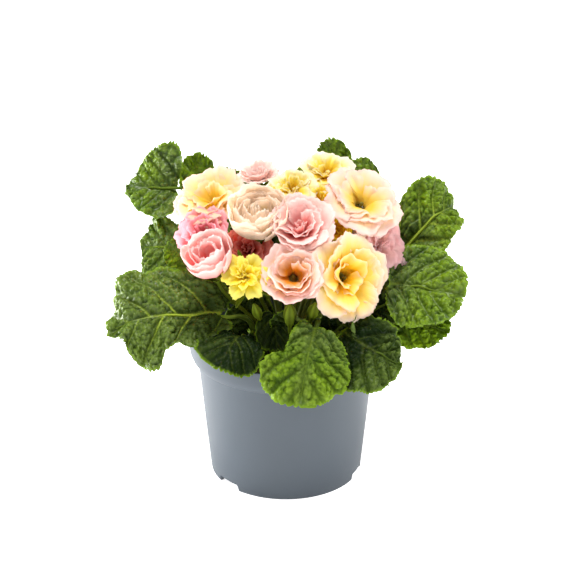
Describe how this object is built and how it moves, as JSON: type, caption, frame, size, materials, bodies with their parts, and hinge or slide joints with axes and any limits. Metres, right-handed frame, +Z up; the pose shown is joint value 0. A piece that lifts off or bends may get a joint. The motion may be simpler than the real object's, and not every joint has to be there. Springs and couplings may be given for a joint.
{
  "type": "potted primrose",
  "caption": "Double-flowered primrose with ruffled blooms in several colours over broad wavy leaves, in a round plastic nursery pot with a banded rim.",
  "frame": {"origin": "centre of the ring that the pot stands on, on the surface it rests on", "axes": "+Z up along the pot's axis, the plant's front faces -Y, +X to the right of someone looking at the front"},
  "size_m": [0.1922, 0.1387, 0.1693],
  "materials": {
    "pot_plastic": "matte grey-blue injection-moulded polypropylene",
    "potting_soil": "moist dark peat crumb",
    "leaf": "puckered, satin green leaf with pale veins",
    "stalk": "downy yellow-green stalk and calyx",
    "petal_cream": "soft cream petal, yellow at the throat",
    "petal_pink": "soft pink petal, coral in the depths",
    "petal_pale_yellow": "soft pale yellow petal with a creamy edge",
    "petal_yellow": "soft bright yellow petal",
    "petal_salmon": "soft salmon petal, orange in the depths",
    "petal_red": "velvety dark red petal"
  },
  "bodies": {
    "root": {"bloom_cream_centre": "petal_cream", "bloom_cream_left": "petal_cream", "bloom_cream_right": "petal_cream", "bloom_pink_back": "petal_pink", "bloom_pink_centre": "petal_pink", "bloom_pink_left": "petal_pink", "bloom_pink_left_upper": "petal_pink", "bloom_pink_right": "petal_pink", "bloom_red_inner": "petal_red", "bloom_salmon": "petal_salmon", "bloom_yellow_back": "petal_pale_yellow", "bloom_yellow_right": "petal_pale_yellow", "bloom_yellow_small": "petal_yellow", "bloom_yellow_top": "petal_pale_yellow", "leaf_back_a": "leaf", "leaf_back_b": "leaf", "leaf_back_c": "leaf", "leaf_back_left": "leaf", "leaf_back_left_inner": "leaf", "leaf_back_left_tall": "leaf", "leaf_back_mid": "leaf", "leaf_back_mid_left": "leaf", "leaf_back_mid_right": "leaf", "leaf_back_right": "leaf", "leaf_back_right_tall": "leaf", "leaf_back_tall": "leaf", "leaf_front": "leaf", "leaf_front_inner": "leaf", "leaf_front_left": "leaf", "leaf_left_front": "leaf", "leaf_left_middle": "leaf", "leaf_left_upper": "leaf", "leaf_left_young": "leaf", "leaf_right": "leaf", "leaf_right_front": "leaf", "leaf_right_low": "leaf", "leaf_right_upper": "leaf", "pot": "pot_plastic", "soil": "potting_soil", "stalk_cream_centre": "stalk", "stalk_cream_left": "stalk", "stalk_cream_right": "stalk", "stalk_pink_back": "stalk", "stalk_pink_centre": "stalk", "stalk_pink_left": "stalk", "stalk_pink_left_upper": "stalk", "stalk_pink_right": "stalk", "stalk_red_inner": "stalk", "stalk_salmon": "stalk", "stalk_yellow_back": "stalk", "stalk_yellow_right": "stalk", "stalk_yellow_small": "stalk", "stalk_yellow_top": "stalk"}
  },
  "joints": []
}
